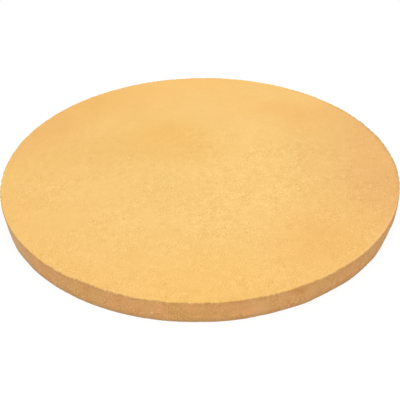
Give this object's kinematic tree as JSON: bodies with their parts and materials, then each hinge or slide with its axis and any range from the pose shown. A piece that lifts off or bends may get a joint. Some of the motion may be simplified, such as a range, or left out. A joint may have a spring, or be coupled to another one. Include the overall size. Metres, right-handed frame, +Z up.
{
  "type": "pizza stone",
  "caption": "Round slab of unglazed cordierite ceramic with a flat baking face, rounded rims and a slightly drafted wall, for baking pizza in an oven or on a grill.",
  "frame": {"origin": "centre of the underside, on the surface that the stone lies on", "axes": "+Z up through the baking face, along the stone's axis of symmetry; X and Y are equal directions across the round slab"},
  "size_m": [0.3809, 0.381, 0.021],
  "materials": {
    "cordierite": "matte"
  },
  "bodies": {
    "root": {"pizza_stone": "cordierite"}
  },
  "joints": []
}
